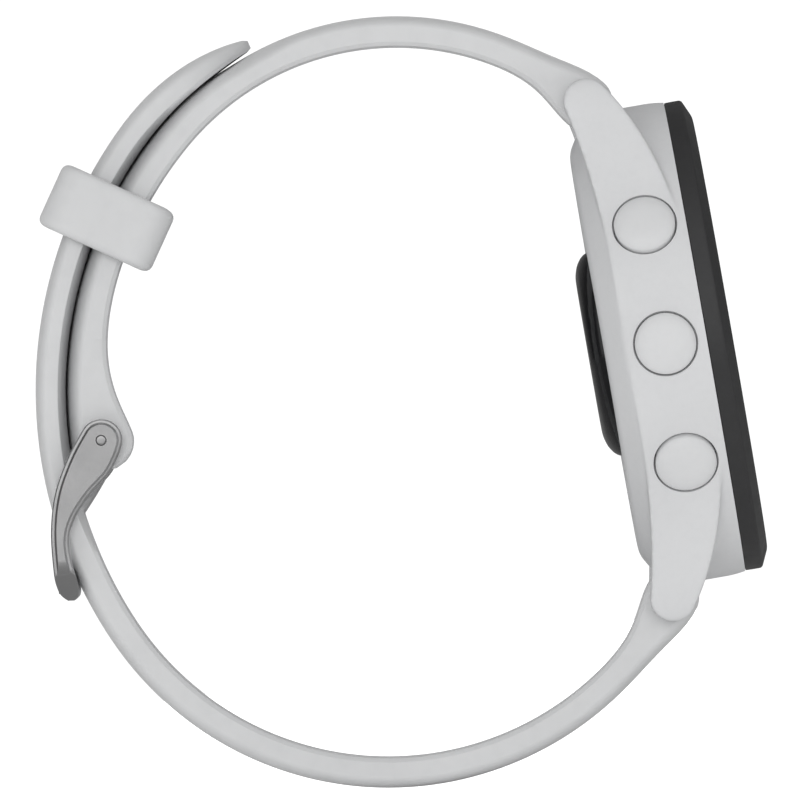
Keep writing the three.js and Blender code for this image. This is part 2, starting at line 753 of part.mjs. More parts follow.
// The tongue runs out from the pin, through the tail, and down to the notch in the crossbar.
function tongueOutline(grow) {
  const path = new THREE.SplineCurve(points([
    [43.7, -0.9], [43.9, -2.2], [45.1, -3.85], [46.76, -5.74], [48.2, -7.3], [49.1, -8.9],
    [49.45, -10.6], [49.45, -12.6],
  ]));
  const steps = 12;
  const near = [];
  const far = [];
  for (let i = 0; i <= steps; i += 1) {
    const share = i / steps;
    const centre = path.getPoint(share);
    const tangent = path.getTangent(share);
    const half = 0.6 - 0.27 * share + grow;
    const reach = i === steps ? grow : 0;
    const end = centre.clone().addScaledVector(tangent, reach);
    near.push(new THREE.Vector2(end.x + tangent.y * half, end.y - tangent.x * half));
    far.unshift(new THREE.Vector2(end.x - tangent.y * half, end.y + tangent.x * half));
  }
  return [...near, ...far];
}

function buckleTongue() {
  const hub = rod(TONGUE_HUB_R, -TONGUE_HALF, TONGUE_HALF, 20).translate([0, PIN_Y, PIN_Z]);
  const bore = rod(PIN_BORE_R, -5, 5, 16).translate([0, PIN_Y, PIN_Z]);
  return sideSlab(tongueOutline(0), -TONGUE_HALF, TONGUE_HALF, 0.2).add(hub).subtract(bore);
}

// ---- Watch --------------------------------------------------------------------------------

const watch = new THREE.Group();
watch.add(piece('case_body', caseBody(), WHITE_POLYMER));
watch.add(piece('bezel', bezel(), BLACK_POLYMER));
watch.add(...displayStack());
watch.add(...internals());
watch.add(...backPieces());
for (const entry of BUTTONS) watch.add(button(entry));
watch.add(springBarSet('upper', 1));
watch.add(springBarSet('lower', -1));
watch.add(piece('buckle_strap', buckleStrap(), WHITE_SILICONE));
watch.add(piece('tail_strap', tailStrap(), WHITE_SILICONE));
watch.add(keeperPiece());
watch.add(piece('buckle_frame', buckleFrame(), STEEL));
watch.add(piece('buckle_pin', bucklePin(), STEEL));
watch.add(piece('buckle_tongue', buckleTongue(), STEEL));

export default watch;
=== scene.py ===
# The looks of a 42 mm running watch with a buckled silicone band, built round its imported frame.
# Lengths are in millimetres and angles in degrees, until a mesh is made in metres.
# +Z points to 12 o'clock, -Y out of the display, +X to 3 o'clock.
import json
import math

import bmesh
import bpy
from mathutils import Matrix, Vector


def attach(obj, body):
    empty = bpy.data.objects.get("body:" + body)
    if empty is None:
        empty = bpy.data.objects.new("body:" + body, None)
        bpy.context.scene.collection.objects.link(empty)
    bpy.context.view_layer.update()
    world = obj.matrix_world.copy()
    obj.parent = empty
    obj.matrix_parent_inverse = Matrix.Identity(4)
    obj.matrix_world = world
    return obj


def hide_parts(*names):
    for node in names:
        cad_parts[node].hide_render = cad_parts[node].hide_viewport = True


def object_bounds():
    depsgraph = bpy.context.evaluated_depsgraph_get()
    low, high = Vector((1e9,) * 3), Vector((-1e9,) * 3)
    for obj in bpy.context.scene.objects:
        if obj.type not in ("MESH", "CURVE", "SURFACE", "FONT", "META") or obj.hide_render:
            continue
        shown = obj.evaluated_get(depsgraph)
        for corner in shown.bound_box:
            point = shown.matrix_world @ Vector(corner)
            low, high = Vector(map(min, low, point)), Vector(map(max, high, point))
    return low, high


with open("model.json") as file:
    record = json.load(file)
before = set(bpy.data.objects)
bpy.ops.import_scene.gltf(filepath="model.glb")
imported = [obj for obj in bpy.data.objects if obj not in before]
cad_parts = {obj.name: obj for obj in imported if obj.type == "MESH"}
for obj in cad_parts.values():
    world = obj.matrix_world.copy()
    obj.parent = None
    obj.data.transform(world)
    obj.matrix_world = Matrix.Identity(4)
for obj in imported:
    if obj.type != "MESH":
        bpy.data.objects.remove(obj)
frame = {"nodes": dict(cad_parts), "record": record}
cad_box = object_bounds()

MM = 0.001

# ---- Driving dimensions --------------------------------------------------------------------

# Planes along the case axis, from the front to the back.
FRONT_Y = -12.66
BEZEL_CORNER_Y = -11.91
SEAM_Y = -10.36
BUTTON_Y = -6.72
CHAMFER_Y = -3.15
BACK_Y = -1.35

# Case radii, and the fineness and smoothing of the skin that blends the shell with the lugs.
SKIN_VOXEL = 0.2
SKIN_PASSES = 9
CASE_R = 21.2
SEAM_R = 21.0
BEZEL_FRONT_R = 19.35
LENS_R = 17.9
LENS_SEAT_R = 16.2
CAVITY_R = 18.0
COVER_R = 16.9
LEDGE_R = 13.6
LEDGE_FRONT_Y = -4.45
LEDGE_BACK_Y = -3.25
SENSOR_FLAT_R = 7.1
SENSOR_BASE_R = 9.1

# Buttons, as angles round the case from +X towards +Z. Their gaps are seen at the cap and the lip.
BUTTONS = {"light": 150, "up": 180, "down": 210, "start": 30, "back": -30}
BUTTON_R = 2.7
BUTTON_GAP = 0.06
BUTTON_LIP = 0.18
BUTTON_TOP = 22.15
BUTTON_SHOULDER = 21.4
BUTTON_SEAT = 19.7

# Lugs, spring bars and band.
LUG_INNER_X = 10.3
BAR_Y = -3.6
BAR_Z = 22.2
LUG_TIP_R = 2.05
LUG_HOLE_R = 0.75
LUG_HOLE_DEPTH = 1.6
ROOT_BORE_R = 1.25
RELEASE_X = 6.2
BAND_HALF = 10.0
BAND_THICK = 2.7
ROOT_SWELL = 2.1
ROOT_SWELL_LENGTH = 3.9
ROOT_R = (BAND_THICK + ROOT_SWELL) / 2
TAIL_HEADING = -53.5
TAIL_ARCS = ((28.1, 119.5), (38.4, 69.5), (24.1, 30.9))
STRAP_HEADING = 51.3
STRAP_ARCS = ((25.3, -91.9), (35.4, -47.1))
TAIL_TIP_THICK = 1.1
TAIL_TAPER = 14
LOBE_SWELL = 2.65
LOBE_SWELL_LENGTH = 5.6
LOBE_SWELL_POWER = 1.5
HOLE_PITCH = 5.6
FIRST_HOLE = 51.4
HOLE_COUNT = 10
TONGUE_HOLE = 3
HOLE_HALF_LENGTH = 1.5
HOLE_R = 1.1
HOLE_FLARE = 0.35
END_RUN = 12
# A band's outer edge and inner bevel, each as its height and depth: where the band is free, and
# where its two layers lie on each other.
FREE_EDGE = (0.8, 1.8)
LAID_EDGE = (1.25, 4.2)
FREE_BEVEL = (0.36, 0.36)
LAID_BEVEL = (0.72, 3.6)
CROWN = 0.25
LAYER_GAP = 0.3
LAYER_START = 32.2
LAYER_RUN = 6
TAIL_LAID_FROM = 66

# Keeper.
KEEPER_WIDTH = 24.4
KEEPER_HEIGHT = 10.7
KEEPER_LENGTH = 5.9
KEEPER_CENTRE = (39.91, 19.43)
KEEPER_ANGLE = 34.3
KEEPER_CLEAR = (20.8, 6.3)
KEEPER_CLEAR_SHIFT = 0.16
KEEPER_CORNER_R = 2.4
KEEPER_CLEAR_CORNER_R = 1.2

# Buckle.
PIN_Y = 43.69
PIN_Z = 0.16
PIN_R = 0.8
PIN_TIP_R = 0.43
PIN_BORE_R = 1.1
ARM_HUB_R = 1.87
ARM_INNER_X = 10.45
ARM_OUTER_X = 12.05
FRAME_LOW_Z = -13.4
FRAME_CORNER_R = 3.8
BAR_TOP_Z = -10.2
# The rim of a buckle arm, as depth below its face and inset: a round, a ledge and a bevelled step.
RIM_STEPS = ((0.42, 0), (0.35, 0.02), (0.29, 0.07), (0.26, 0.14), (0.25, 0.17), (0.25, 0.30),
             (0.23, 0.33), (0.03, 0.45), (0, 0.50))
TONGUE_HALF = 1.0
TONGUE_HUB_R = 1.75
TONGUE_SLOT_HALF = 1.35
NOTCH_FLOOR_Y = 48.8
LIFT = 3
GAP = 0.3

# How a part's own axes lie in the row frame.
ALONG_X = Matrix.Rotation(math.radians(90), 4, "Y")
ALONG_Y = Matrix.Rotation(math.radians(-90), 4, "X")
SIDE = Matrix(((0, 0, 1, 0), (1, 0, 0, 0), (0, 1, 0, 0), (0, 0, 0, 1)))
PLAN = Matrix(((1, 0, 0, 0), (0, 0, 1, 0), (0, 1, 0, 0), (0, 0, 0, 1)))


# ---- Mesh helpers --------------------------------------------------------------------------

def mesh_object(name, points, faces, place=Matrix()):
    """A mesh object from millimetre points, with its repeated points merged and its faces out."""
    mesh = bpy.data.meshes.new(name)
    mesh.from_pydata([place @ Vector(p) * MM for p in points], [], faces)
    work = bmesh.new()
    work.from_mesh(mesh)
    bmesh.ops.remove_doubles(work, verts=work.verts, dist=1e-7)
    bmesh.ops.recalc_face_normals(work, faces=work.faces)
    work.to_mesh(mesh)
    work.free()
    made = bpy.data.objects.new(name, mesh)
    bpy.context.scene.collection.objects.link(made)
    return made


def applied(obj):
    """The object with its modifiers made part of its mesh."""
    depsgraph = bpy.context.evaluated_depsgraph_get()
    mesh = bpy.data.meshes.new_from_object(obj.evaluated_get(depsgraph))
    obj.modifiers.clear()
    obj.data = mesh
    return obj


def combined(obj, operation, *others):
    """The object with the others added to it or cut out of it. The others are used up."""
    for other in others:
        step = obj.modifiers.new("step", "BOOLEAN")
        step.operation = operation
        step.solver = "MANIFOLD"
        step.object = other
    applied(obj)
    for other in others:
        bpy.data.objects.remove(other)
    return obj


def loft(name, rings, place=Matrix()):
    """A closed skin over rings with the same number of points, with flat ends."""
    count = len(rings[0])
    faces = []
    for i in range(len(rings) - 1):
        for k in range(count):
            a, b = i * count + k, i * count + (k + 1) % count
            faces.append((a, b, b + count, a + count))
    faces.append(range(count))
    faces.append(range((len(rings) - 1) * count, len(rings) * count))
    return mesh_object(name, [p for ring in rings for p in ring], faces, place)


def eased(outline, radius, closed=False, steps=4):
    """An outline with its corners rounded. A point's third value, if any, is its own radius."""
    made = []
    count = len(outline)
    for i, point in enumerate(outline):
        corner = Vector(point[:2])
        reach = point[2] if len(point) > 2 else radius
        if (not closed and i in (0, count - 1)) or reach == 0:
            made.append(corner)
            continue
        back = Vector(outline[i - 1][:2]) - corner
        ahead = Vector(outline[(i + 1) % count][:2]) - corner
        cut = min(reach, 0.45 * back.length, 0.45 * ahead.length)
        start = corner + back.normalized() * cut
        end = corner + ahead.normalized() * cut
        for k in range(steps + 1):
            t = k / steps
            made.append(start * (1 - t) ** 2 + corner * 2 * t * (1 - t) + end * t ** 2)
    return made


def lathe(name, profile, segments=128, place=Matrix()):
    """A profile of (radius, height) turned about the local Z axis."""
    on_axis = profile[0][0] == 0
    count = len(profile)
    points = []
    for i in range(segments):
        angle = 2 * math.pi * i / segments
        points += [(r * math.cos(angle), r * math.sin(angle), h) for r, h in profile]
    faces = []
    for i in range(segments):
        here, there = i * count, (i + 1) % segments * count
        for k in range(count - 1 if on_axis else count):
            nxt = (k + 1) % count
            faces.append((here + k, there + k, there + nxt, here + nxt))
    return mesh_object(name, points, faces, place)


def rod(name, radius, low, high, place, segments=48):
    return lathe(name, [(0, low), (radius, low), (radius, high), (0, high)], segments, place)


def slab(name, outline, low, high, place=Matrix(), bevel=0.0, steps=4):
    """An outline extruded between two planes, with its rims rounded."""
    rings = [(low, 0)]
    if bevel:
        quarter = [math.radians(90) * k / steps for k in range(steps + 1)]
        rings = [(low + bevel * (1 - math.sin(a)), bevel * (1 - math.cos(a))) for a in quarter]
        rings.reverse()
        rings += [(high - (h - low), inset) for h, inset in reversed(rings)]
    else:
        rings.append((high, 0))
    return stacked(name, outline, rings, place)


def stacked(name, outline, levels, place):
    """A skin over an outline's copies. Each level is a height and how far its copy is inset."""
    rings = [[(*p, height) for p in inset_outline(outline, inset)] for height, inset in levels]
    return loft(name, rings, place)


def inset_outline(outline, distance):
    """The outline moved inwards, along the mean of the normals at each point."""
    if distance == 0:
        return [tuple(p) for p in outline]
    points = [Vector(p) for p in outline]
    count = len(points)
    area = sum(points[i - 1].cross(points[i]) for i in range(count))
    turn = math.copysign(1, area)
    made = []
    for i, point in enumerate(points):
        a = (point - points[i - 1]).normalized()
        b = (points[(i + 1) % count] - point).normalized()
        mean = (a + b).normalized()
        spread = max(mean.dot(a), 0.5)
        made.append(tuple(point + Vector((-mean.y, mean.x)) * turn * distance / spread))
    return made


def arc(centre, radius, start, end, steps):
    angles = [math.radians(start + (end - start) * k / steps) for k in range(steps + 1)]
    return [Vector((centre[0] + radius * math.cos(a), centre[1] + radius * math.sin(a)))
            for a in angles]


def rounded_rectangle(width, height, radius, steps=8):
    made = []
    for u, v, start in ((1, 1, 0), (-1, 1, 90), (-1, -1, 180), (1, -1, 270)):
        centre = (u * (width / 2 - radius), v * (height / 2 - radius))
        made += arc(centre, radius, start, start + 90, steps)
    return made


def quadratic(a, b, c, steps):
    a, b, c = Vector(a), Vector(b), Vector(c)
    shares = [k / steps for k in range(steps + 1)]
    return [a * (1 - t) ** 2 + b * 2 * t * (1 - t) + c * t ** 2 for t in shares]


def spline(knots, steps):
    """A Catmull-Rom curve through the knots, as points."""
    knots = [Vector(k) for k in knots]
    last = len(knots) - 1
    made = []
    for i in range(steps + 1):
        place = last * i / steps
        leg = min(int(place), last - 1)
        t = place - leg
        p0, p1 = knots[max(leg - 1, 0)], knots[leg]
        p2, p3 = knots[leg + 1], knots[min(leg + 2, last)]
        v0, v1 = (p2 - p0) / 2, (p3 - p1) / 2
        made.append((2 * p1 - 2 * p2 + v0 + v1) * t ** 3
                    + (-3 * p1 + 3 * p2 - 2 * v0 - v1) * t ** 2 + v0 * t + p1)
    return made


def moved(x=0.0, y=0.0, z=0.0):
    return Matrix.Translation((x, y, z))


def dressed(obj, material, body, slot, *nodes, sharp=38):
    """Gives a finished mesh its shading, its material and its body, and hides the nodes it stands
    for.
    """
    obj.data.materials.clear()
    obj.data.materials.append(material)
    obj.data.shade_smooth()
    obj.data.set_sharp_from_angle(angle=math.radians(sharp))
    flat = obj.modifiers.new("flat", "WEIGHTED_NORMAL")
    flat.keep_sharp = True
    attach(obj, body)
    if nodes:
        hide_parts(*nodes)
    return obj


# ---- Materials -----------------------------------------------------------------------------

class Surface:
    """A material built from noise at several scales, with its colour changed along sharp edges."""

    def __init__(self, name, **sockets):
        self.made = bpy.data.materials.new(name)
        self.made.use_nodes = True
        self.tree = self.made.node_tree
        self.shader = self.tree.nodes["Principled BSDF"]
        for socket, value in sockets.items():
            self.shader.inputs[socket.replace("_", " ")].default_value = value
        self.place = self.node("ShaderNodeTexCoord").outputs["Object"]

    def node(self, kind, **settings):
        made = self.tree.nodes.new(kind)
        for key, value in settings.items():
            setattr(made, key, value)
        return made

    def link(self, output, target):
        self.tree.links.new(output, target)

    def noise(self, size, detail=2.0, stretch=None):
        """Noise whose blotches are about size millimetres across."""
        made = self.node("ShaderNodeTexNoise")
        made.inputs["Scale"].default_value = 1 / (size * MM)
        made.inputs["Detail"].default_value = detail
        place = self.place
        if stretch:
            mapping = self.node("ShaderNodeMapping")
            mapping.inputs["Scale"].default_value = stretch
            self.link(place, mapping.inputs["Vector"])
            place = mapping.outputs["Vector"]
        self.link(place, made.inputs["Vector"])
        return made.outputs["Fac"]

    def ranged(self, value, low, high, start=0.3, end=0.7):
        made = self.node("ShaderNodeMapRange")
        made.inputs["From Min"].default_value = start
        made.inputs["From Max"].default_value = end
        made.inputs["To Min"].default_value = low
        made.inputs["To Max"].default_value = high
        self.link(value, made.inputs["Value"])
        return made.outputs["Result"]

    def math(self, operation, a, b):
        made = self.node("ShaderNodeMath", operation=operation)
        for target, value in zip(made.inputs, (a, b)):
            if isinstance(value, (int, float)):
                target.default_value = value
            else:
                self.link(value, target)
        return made.outputs[0]

    def mixed(self, share, a, b):
        """Two colours, or a colour output and a colour, mixed by a share."""
        made = self.node("ShaderNodeMix", data_type="RGBA")
        for target, value in ((made.inputs[0], share), (made.inputs[6], a), (made.inputs[7], b)):
            if isinstance(value, tuple):
                target.default_value = (*value, 1)
            else:
                self.link(value, target)
        return made.outputs[2]

    def edges(self, radius):
        """1 on edges sharper than the radius in millimetres, 0 on open faces."""
        bevel = self.node("ShaderNodeBevel", samples=4)
        bevel.inputs["Radius"].default_value = radius * MM
        dot = self.node("ShaderNodeVectorMath", operation="DOT_PRODUCT")
        self.link(bevel.outputs["Normal"], dot.inputs[0])
        self.link(self.node("ShaderNodeNewGeometry").outputs["Normal"], dot.inputs[1])
        return self.ranged(dot.outputs["Value"], 1.0, 0.0, 0.86, 0.995)

    def colour(self, output):
        self.link(output, self.shader.inputs["Base Color"])

    def roughness(self, output):
        self.link(output, self.shader.inputs["Roughness"])

    def bumps(self, *heights):
        """Bumps added one on another: each is a height output and its depth in millimetres."""
        normal = None
        for height, depth in heights:
            bump = self.node("ShaderNodeBump")
            bump.inputs["Strength"].default_value = 1.0
            bump.inputs["Distance"].default_value = depth * MM
            self.link(height, bump.inputs["Height"])
            if normal:
                self.link(normal, bump.inputs["Normal"])
            normal = bump.outputs["Normal"]
        self.link(normal, self.shader.inputs["Normal"])


def moulded(name, tone, shade, worn, roughness, grain, depth, **sockets):
    """A moulded polymer: faint cloudy tone, fine spark-eroded grain, edges rubbed a little."""
    made = Surface(name, **sockets)
    cloud = made.ranged(made.noise(9, 3), 0.0, 1.0)
    speck = made.ranged(made.noise(0.6, 4), 0.0, 0.35, 0.45, 0.75)
    base = made.mixed(made.math("ADD", made.math("MULTIPLY", cloud, 0.65), speck), tone, shade)
    edge = made.math("MULTIPLY", made.edges(0.16), made.ranged(made.noise(1.6, 4), 0.15, 0.8))
    made.colour(made.mixed(edge, base, worn))
    gloss = made.ranged(made.noise(2.2, 5), roughness - 0.05, roughness + 0.06)
    made.roughness(made.math("SUBTRACT", gloss, made.math("MULTIPLY", edge, 0.08)))
    made.bumps((made.noise(grain, 3), depth), (made.noise(5.0, 2), depth * 3))
    return made.made


def metal(name, tone, shade, roughness, stretch, depth=0.004, **sockets):
    """A worked metal: fine lines along one axis, a cloudy tone and bright rubbed edges."""
    made = Surface(name, Metallic=1.0, **sockets)
    lines = made.noise(0.16, 3, stretch)
    cloud = made.ranged(made.noise(4, 3), 0.0, 1.0)
    base = made.mixed(cloud, tone, shade)
    edge = made.math("MULTIPLY", made.edges(0.14), made.ranged(made.noise(1.1, 4), 0.3, 1.0))
    made.colour(made.mixed(edge, base, tuple(min(c * 1.35, 0.95) for c in tone)))
    gloss = made.ranged(lines, roughness - 0.06, roughness + 0.08)
    made.roughness(made.math("SUBTRACT", gloss, made.math("MULTIPLY", edge, 0.06)))
    made.bumps((lines, depth), (made.noise(0.5, 4), depth))
    return made.made


def lens_glass():
    """Dark glass over a switched-off display, with a black printed border round it."""
    made = Surface("lens_glass", IOR=1.52, Coat_Weight=0.6, Coat_Roughness=0.03)
    separate = made.node("ShaderNodeSeparateXYZ")
    made.link(made.place, separate.inputs[0])
    x, z = separate.outputs["X"], separate.outputs["Z"]
    square = made.math("ADD", made.math("MULTIPLY", x, x), made.math("MULTIPLY", z, z))
    radius = made.math("SQRT", square, 0.0)
    border = made.ranged(radius, 0.0, 1.0, 15.25 * MM, 15.35 * MM)
    cells = made.node("ShaderNodeTexVoronoi", distance="CHEBYCHEV")
    cells.inputs["Scale"].default_value = 1 / (0.13 * MM)
    cells.inputs["Randomness"].default_value = 0.0
    made.link(made.place, cells.inputs["Vector"])
    grid = made.ranged(cells.outputs["Distance"], 0.0, 1.0, 0.38, 0.5)
    display = made.mixed(grid, (0.020, 0.023, 0.020), (0.012, 0.014, 0.012))
    tint = made.mixed(made.ranged(made.noise(14, 2), 0.0, 0.5), display, (0.014, 0.017, 0.018))
    made.colour(made.mixed(border, tint, (0.0035, 0.0035, 0.004)))
    made.roughness(made.ranged(made.noise(3, 5), 0.05, 0.12))
    made.bumps((made.noise(7, 2), 0.002), (made.noise(0.4, 2), 0.0004))
    return made.made


def sensor_glass():
    """A polished black infrared window, with a few fine scratches from wear."""
    made = Surface("sensor_glass", IOR=1.5, Specular_IOR_Level=0.6)
    smudge = made.ranged(made.noise(5, 4), 0.0, 1.0)
    made.colour(made.mixed(smudge, (0.004, 0.004, 0.005), (0.009, 0.009, 0.010)))
    made.roughness(made.ranged(made.noise(2.5, 5), 0.08, 0.2))
    made.bumps((made.noise(0.3, 3, (1, 1, 14)), 0.0008), (made.noise(6, 2), 0.002))
    return made.made


def silicone():
    """Soft matt silicone rubber: powdery sheen, fine bloom, faint rub marks, and a colour a little
    darker along sharp edges and in creases.
    """
    made = Surface("band_silicone", Sheen_Weight=0.12, Sheen_Roughness=0.5,
                   Specular_IOR_Level=0.38)
    cloud = made.ranged(made.noise(11, 3), 0.0, 0.6)
    rub = made.ranged(made.noise(1.4, 5), 0.0, 0.4, 0.45, 0.8)
    base = made.mixed(made.math("ADD", cloud, rub), (0.640, 0.645, 0.650), (0.585, 0.590, 0.596))
    # The colour is made a little darker along sharp edges and in creases, wherever the bevel mask
    # finds them.
    edge = made.math("MULTIPLY", made.edges(0.2), made.ranged(made.noise(1.8, 4), 0.1, 0.5))
    made.colour(made.mixed(edge, base, (0.560, 0.562, 0.565)))
    made.roughness(made.ranged(made.noise(3, 5), 0.50, 0.64))
    made.bumps((made.noise(0.14, 3), 0.0035), (made.noise(4.5, 3), 0.014))
    return made.made


def circuit_board():
    made = Surface("circuit_board", Coat_Weight=0.3, Coat_Roughness=0.25)
    tracks = made.node("ShaderNodeTexVoronoi", feature="DISTANCE_TO_EDGE", distance="MANHATTAN")
    made.link(made.place, tracks.inputs["Vector"])
    tracks.inputs["Scale"].default_value = 1 / (1.1 * MM)
    line = made.ranged(tracks.outputs["Distance"], 1.0, 0.0, 0.04, 0.1)
    mask = made.mixed(made.ranged(made.noise(6, 3), 0.0, 1.0), (0.02, 0.085, 0.045),
                      (0.03, 0.11, 0.06))
    made.colour(made.mixed(line, mask, (0.05, 0.17, 0.09)))
    made.roughness(made.ranged(made.noise(1.2, 4), 0.32, 0.5))
    made.bumps((line, 0.01), (made.noise(0.3, 3), 0.004))
    return made.made


def foil():
    made = Surface("battery_foil", Metallic=0.7)
    crease = made.noise(1.6, 5, (1, 1, 3))
    made.colour(made.mixed(made.ranged(crease, 0.0, 1.0), (0.55, 0.56, 0.58), (0.42, 0.43, 0.45)))
    made.roughness(made.ranged(made.noise(2.4, 4), 0.3, 0.48))
    made.bumps((crease, 0.05), (made.noise(0.3, 3), 0.01))
    return made.made


MATERIALS = {
    "case_white": moulded("case_white", (0.665, 0.670, 0.678), (0.625, 0.630, 0.638),
                          (0.70, 0.70, 0.70), 0.46, 0.22, 0.005, Specular_IOR_Level=0.42),
    "button_white": moulded("button_white", (0.675, 0.680, 0.686), (0.640, 0.645, 0.652),
                            (0.71, 0.71, 0.71), 0.42, 0.2, 0.004, Specular_IOR_Level=0.45),
    "black_polymer": moulded("black_polymer", (0.037, 0.037, 0.038), (0.044, 0.044, 0.045),
                             (0.062, 0.062, 0.063), 0.38, 0.18, 0.006, Specular_IOR_Level=0.32),
    "seal_rubber": moulded("seal_rubber", (0.018, 0.018, 0.018), (0.028, 0.028, 0.028),
                           (0.04, 0.04, 0.04), 0.72, 0.3, 0.010),
    "display": moulded("display", (0.05, 0.055, 0.05), (0.04, 0.044, 0.04),
                       (0.07, 0.07, 0.07), 0.22, 0.3, 0.001),
    "band_silicone": silicone(),
    "lens_glass": lens_glass(),
    "sensor_glass": sensor_glass(),
    "circuit_board": circuit_board(),
    "battery_foil": foil(),
    "gold_plate": metal("gold_plate", (0.83, 0.62, 0.28), (0.74, 0.54, 0.24), 0.22, (6, 1, 1)),
    "buckle_steel": metal("buckle_steel", (0.80, 0.80, 0.803), (0.73, 0.73, 0.735), 0.34,
                          (8, 1, 1)),
    "tinned_steel": metal("tinned_steel", (0.62, 0.62, 0.63), (0.52, 0.52, 0.54), 0.34,
                          (1, 6, 1)),
    "small_steel": metal("small_steel", (0.56, 0.56, 0.57), (0.46, 0.46, 0.47), 0.28,
                         (9, 1, 1), 0.003),
}


# ---- Case ----------------------------------------------------------------------------------

def lug(u, w):
    """One lug: its side outline cut to its plan outline, in one of the four corners."""
    outline = [(-3.2, 2), (-10.1, 2)]
    outline += quadratic((-10.15, 7.0), (-9.75, 16.9), (-5.3, 23.3), 16)
    outline += arc((BAR_Y, BAR_Z), LUG_TIP_R, 125, 0, 14)
    outline += quadratic((-1.7, 21.5), (-2.8, 16.9), (-3.15, 10), 12)
    side = slab("lug", outline, LUG_INNER_X, 22, SIDE)
    edge = [(20.9, 2.0), (20.4, 5.4), (19.5, 8.2), (18.1, 11.2), (17.1, 13.4), (16.1, 16.4),
            (15.25, 19.6), (14.6, 22.4), (13.9, 24.0), (12.8, 24.7)]
    plan = slab("lug_plan", [(LUG_INNER_X, 2)] + spline(edge, 28) + [(LUG_INNER_X, 24.8)],
                -12, 1, PLAN)
    combined(side, "INTERSECT", plan)
    side.data.transform(Matrix.Diagonal((u, 1, w, 1)))
    if u * w < 0:
        side.data.flip_normals()
    return side


def root_room(w):
    """The room between two lugs for the round root of the band."""
    r = ROOT_R + GAP
    outline = [(BAR_Y - r, BAR_Z + 9), *arc((BAR_Y, BAR_Z), r, 180, 270, 16)]
    outline += [(2, BAR_Z - r), (2, BAR_Z + 9)]
    outline = [(y, w * z) for y, z in outline]
    return slab("room", outline, -LUG_INNER_X, LUG_INNER_X, SIDE)


def button_place(angle):
    return moved(y=BUTTON_Y) @ Matrix.Rotation(math.radians(-angle), 4, "Y") @ ALONG_X


def case_body():
    """The shell and lugs in one blended skin, then cut crisply where other parts meet it."""
    shell = [(0, SEAM_Y - 1), (20.9, SEAM_Y - 1), (CASE_R, -9.3), (CASE_R, -4.6),
             (20.9, CHAMFER_Y), (19.2, -2.1), (18.2, -1.5), (17.5, BACK_Y), (0, BACK_Y)]
    body = lathe("watch_case", eased(shell, 0.5), 160, ALONG_Y)
    combined(body, "UNION", *(lug(u, w) for u in (1, -1) for w in (1, -1)))
    combined(body, "DIFFERENCE", root_room(1), root_room(-1))
    skin = body.modifiers.new("skin", "REMESH")
    skin.mode = "VOXEL"
    skin.voxel_size = SKIN_VOXEL * MM
    blend = body.modifiers.new("blend", "SMOOTH")
    blend.factor = 0.5
    blend.iterations = SKIN_PASSES
    applied(body)
    front = rod("front", 30, SEAM_Y - 5, SEAM_Y, ALONG_Y, 64)
    cavity = [(0, -14), (CAVITY_R, -14), (CAVITY_R, LEDGE_FRONT_Y), (LEDGE_R, LEDGE_FRONT_Y),
              (LEDGE_R, LEDGE_BACK_Y), (COVER_R + GAP, LEDGE_BACK_Y), (COVER_R + GAP, -1.5),
              (COVER_R + GAP + 0.4, 0.2), (0, 0.2)]
    cuts = [front, lathe("cavity", cavity, 160, ALONG_Y)]
    snug, lip = BUTTON_R + BUTTON_GAP, BUTTON_R + BUTTON_LIP
    bore = [(0, 16.5), (1.2, 16.5), (1.2, 18.9), (1.9, 18.9), (1.9, BUTTON_SEAT),
            (snug, BUTTON_SEAT), (snug, 20.6), (lip, 20.72), (lip, 25), (0, 25)]
    cuts += [lathe("bore", bore, 72, button_place(angle)) for angle in BUTTONS.values()]
    reach = LUG_INNER_X + LUG_HOLE_DEPTH
    for w in (1, -1):
        hole_place = moved(y=BAR_Y, z=w * BAR_Z) @ ALONG_X
        cuts.append(rod("bar_hole", LUG_HOLE_R, -reach, reach, hole_place))
    combined(body, "DIFFERENCE", *cuts)
    return dressed(body, MATERIALS["case_white"], "case", "case_white", "case_body")


def bezel():
    profile = [(LENS_SEAT_R, -11.4), (LENS_SEAT_R, SEAM_Y - 0.05), (20.98, SEAM_Y - 0.05),
               (SEAM_R, -11.0, 0.1), (SEAM_R, BEZEL_CORNER_Y, 0.24), (BEZEL_FRONT_R, FRONT_Y, 0.3),
               (LENS_R + 0.12, FRONT_Y, 0.12), (LENS_R + 0.12, -11.4)]
    made = lathe("front_bezel", eased(profile, 0.08, closed=True), 192, ALONG_Y)
    return dressed(made, MATERIALS["black_polymer"], "case", "black_polymer", "bezel", sharp=50)


def lens():
    profile = [(0, -12.5), (LENS_R, -12.5, 0.2), (LENS_R, -11.75, 0.1), (0, -11.75)]
    made = lathe("front_lens", eased(profile, 0.1), 192, ALONG_Y)
    return dressed(made, MATERIALS["lens_glass"], "case", "lens_glass", "lens", sharp=50)


# ---- Back ----------------------------------------------------------------------------------

PORT_WIDTH = 9.6
PORT_HEIGHT = 3.4
PORT_Z = -12.5
CONTACT_PITCH = 2.3
CONTACT_R = 0.45
SCREW_CIRCLE = 15.1
SCREW_HEAD_R = 1.05
DRIVE_R = 0.42
DRIVE_WAVE = 0.13
DRIVE_POINTS = 72


def port_slab(name, grow, low, high, bevel=0.0):
    outline = rounded_rectangle(PORT_WIDTH + 2 * grow, PORT_HEIGHT + 2 * grow, 1 + grow)
    return slab(name, [(x, z + PORT_Z) for x, z in outline], low, high, PLAN, bevel)


def screw_place(index):
    angle = math.radians(45 + 90 * index)
    return moved(x=SCREW_CIRCLE * math.cos(angle), z=SCREW_CIRCLE * math.sin(angle)) @ ALONG_Y


def contact_x(index):
    return (index - 1.5) * CONTACT_PITCH


